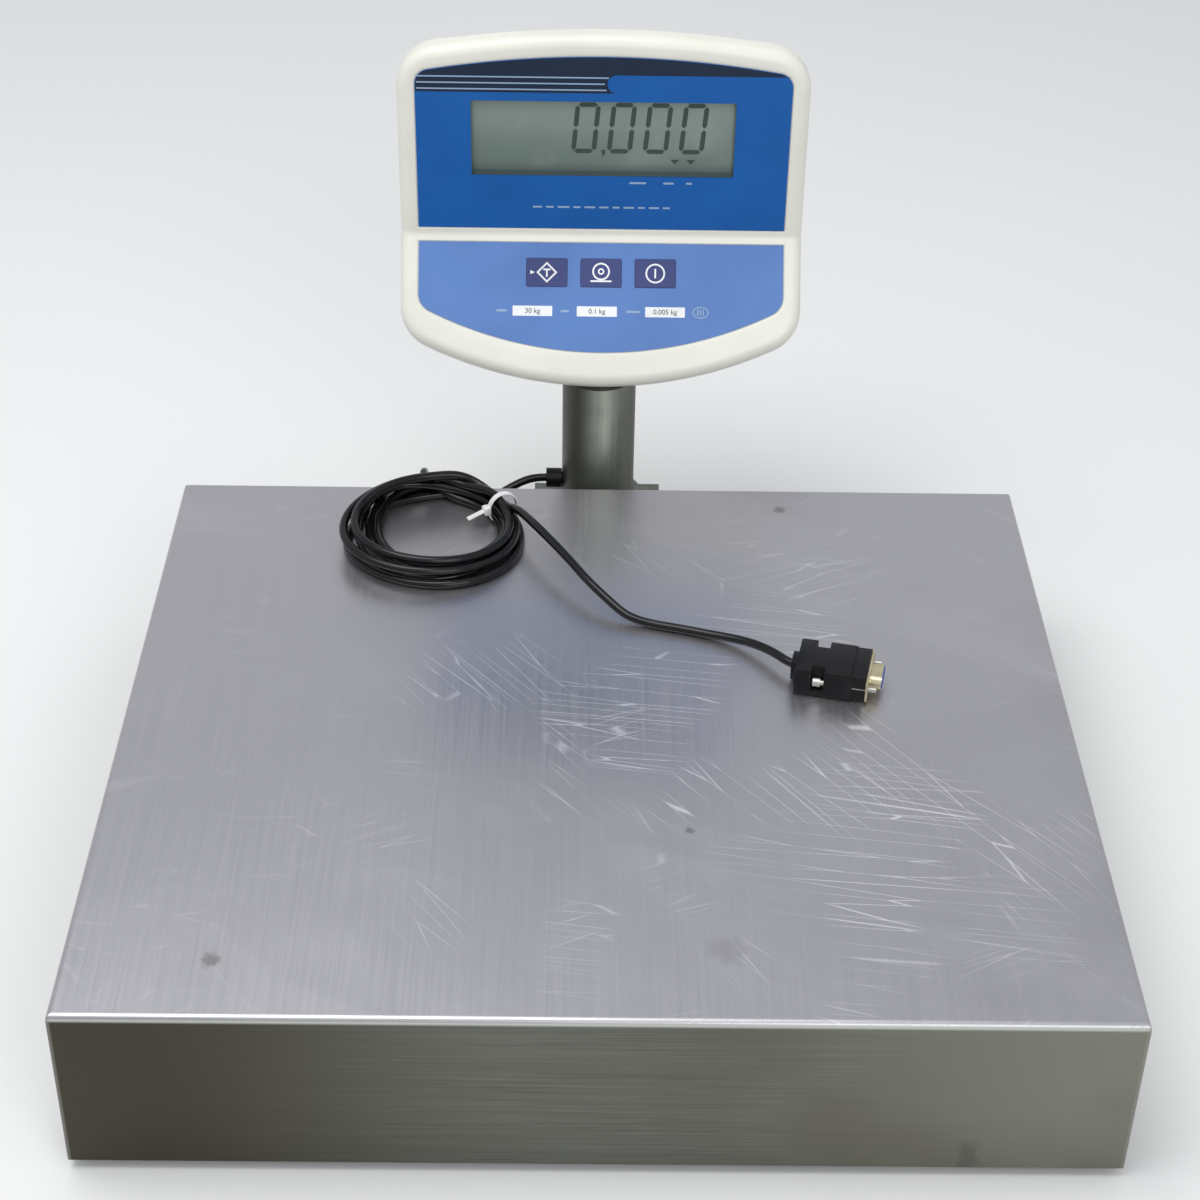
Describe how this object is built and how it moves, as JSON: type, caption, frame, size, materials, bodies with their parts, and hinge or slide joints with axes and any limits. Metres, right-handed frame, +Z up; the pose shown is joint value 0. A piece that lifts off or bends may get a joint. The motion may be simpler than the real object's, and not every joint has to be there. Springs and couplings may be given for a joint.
{
  "type": "bench and pallet scale",
  "caption": "Low platform scale with a folded stainless platter on a load cell, and a tilting indicator with display and membrane keys on a rear column.",
  "frame": {"origin": "middle of the footprint of everything but the free cable, on the floor", "axes": "+Z up; -Y is the front, where the reader stands; +X is to the right of someone reading the display"},
  "size_m": [0.5, 0.565, 0.3635],
  "materials": {
    "platter_steel": "brushed stainless steel, worn",
    "rubber": "matt black rubber",
    "frame_paint": "grey powder coat",
    "zinc": "zinc-plated steel",
    "cell_aluminium": "milled aluminium",
    "column_steel": "satin stainless steel",
    "vial": "clear yellow-green plastic",
    "black_plastic": "moulded black plastic",
    "black_paint": "black paint",
    "cream_plastic": "moulded cream plastic, lightly scuffed",
    "upper_film": "printed blue film",
    "lower_film": "printed light blue film",
    "display_glass": "grey-green liquid crystal panel",
    "board_green": "green circuit board",
    "white_plastic": "white nylon",
    "key_film": "printed indigo film",
    "cable_black": "glossy black cable jacket",
    "plug_metal": "plated connector shell",
    "plug_blue": "blue moulded insulator"
  },
  "bodies": {
    "base": {"base_beam": "frame_paint", "base_rail_left": "frame_paint", "base_rail_right": "frame_paint", "base_rail_front": "frame_paint", "base_rail_rear": "frame_paint", "stop_screws": "zinc", "foot_nuts": "zinc", "cell_base_plate": "zinc", "cell_base_bolts": "zinc", "load_cell_fixed": "cell_aluminium", "column_arm": "column_steel", "column_plate": "column_steel", "column_bolts": "zinc", "column": "column_steel", "level_vial": "vial", "cable_gland": "black_plastic", "column_fork": "black_paint", "pivot_bolt": "zinc", "pivot_nut": "zinc", "cord_rear": "cable_black"},
    "load": {"load_frame": "frame_paint", "bumpers": "rubber", "cell_top_plate": "zinc", "cell_top_bolts": "zinc", "load_cell_live": "cell_aluminium"},
    "weighing_platter": {"platter": "platter_steel", "cord_edge": "cable_black", "cord_coil": "cable_black", "cord_lead": "cable_black", "cable_tie": "white_plastic", "plug_hood": "black_plastic", "plug_shell": "plug_metal", "plug_insert": "plug_blue", "plug_screws": "zinc"},
    "indicator": {"bezel": "cream_plastic", "rear_cover": "cream_plastic", "pivot_lug": "cream_plastic", "cover_screws": "zinc", "upper_label": "upper_film", "lower_label": "lower_film", "lcd_glass": "display_glass", "lcd_carrier": "black_plastic", "main_board": "board_green", "key_board": "board_green", "key_domes": "white_plastic", "power_inlet": "black_plastic"},
    "tare_button": {"key_tare": "key_film"},
    "zero_button": {"key_zero": "key_film"},
    "power_button": {"key_power": "key_film"},
    "foot_pad_fl": {"foot_pad_fl": "rubber"},
    "foot_stud_fl": {"foot_stud_fl": "zinc"},
    "foot_pad_rl": {"foot_pad_rl": "rubber"},
    "foot_stud_rl": {"foot_stud_rl": "zinc"},
    "foot_pad_fr": {"foot_pad_fr": "rubber"},
    "foot_stud_fr": {"foot_stud_fr": "zinc"},
    "foot_pad_rr": {"foot_pad_rr": "rubber"},
    "foot_stud_rr": {"foot_stud_rr": "zinc"}
  },
  "joints": [
    {"name": "load_deflection", "type": "slide", "parent": "base", "child": "load", "axis": [0, 0, 1], "range_m": [-0.0005, 0.0001], "stiffness_N_per_m": 600000, "springref_m": 0.00012},
    {"name": "platter_lift", "type": "slide", "parent": "load", "child": "weighing_platter", "axis": [0, 0, 1], "range_m": [0, 0.1]},
    {"name": "indicator_tilt", "type": "hinge", "parent": "base", "child": "indicator", "pos_m": [0, 0.2235, 0.186], "axis": [-1, 0, 0], "range_deg": [-3, 20]},
    {"name": "tare_press", "type": "slide", "parent": "indicator", "child": "tare_button", "axis": [0, 0.8191, -0.5736], "range_m": [0, 0.0005], "stiffness_N_per_m": 1500, "springref_m": -0.0003},
    {"name": "zero_press", "type": "slide", "parent": "indicator", "child": "zero_button", "axis": [0, 0.8191, -0.5736], "range_m": [0, 0.0005], "stiffness_N_per_m": 1500, "springref_m": -0.0003},
    {"name": "power_press", "type": "slide", "parent": "indicator", "child": "power_button", "axis": [0, 0.8191, -0.5736], "range_m": [0, 0.0005], "stiffness_N_per_m": 1500, "springref_m": -0.0003},
    {"name": "foot_fl_height", "type": "slide", "parent": "base", "child": "foot_pad_fl", "axis": [0, 0, -1], "range_m": [0, 0.008]},
    {"name": "foot_fl_turn", "type": "hinge", "parent": "foot_pad_fl", "child": "foot_stud_fl", "pos_m": [-0.205, -0.2205, 0.03], "axis": [0, 0, 1], "range_deg": [0, 1920]},
    {"name": "foot_rl_height", "type": "slide", "parent": "base", "child": "foot_pad_rl", "axis": [0, 0, -1], "range_m": [0, 0.008]},
    {"name": "foot_rl_turn", "type": "hinge", "parent": "foot_pad_rl", "child": "foot_stud_rl", "pos_m": [-0.205, 0.1055, 0.03], "axis": [0, 0, 1], "range_deg": [0, 1920]},
    {"name": "foot_fr_height", "type": "slide", "parent": "base", "child": "foot_pad_fr", "axis": [0, 0, -1], "range_m": [0, 0.008]},
    {"name": "foot_fr_turn", "type": "hinge", "parent": "foot_pad_fr", "child": "foot_stud_fr", "pos_m": [0.205, -0.2205, 0.03], "axis": [0, 0, 1], "range_deg": [0, 1920]},
    {"name": "foot_rr_height", "type": "slide", "parent": "base", "child": "foot_pad_rr", "axis": [0, 0, -1], "range_m": [0, 0.008]},
    {"name": "foot_rr_turn", "type": "hinge", "parent": "foot_pad_rr", "child": "foot_stud_rr", "pos_m": [0.205, 0.1055, 0.03], "axis": [0, 0, 1], "range_deg": [0, 1920]}
  ],
  "couplings": [
    {"joint": "foot_fl_turn", "follows": "foot_fl_height", "rad_per_m": 4188.8},
    {"joint": "foot_rl_turn", "follows": "foot_rl_height", "rad_per_m": 4188.8},
    {"joint": "foot_fr_turn", "follows": "foot_fr_height", "rad_per_m": 4188.8},
    {"joint": "foot_rr_turn", "follows": "foot_rr_height", "rad_per_m": 4188.8}
  ]
}
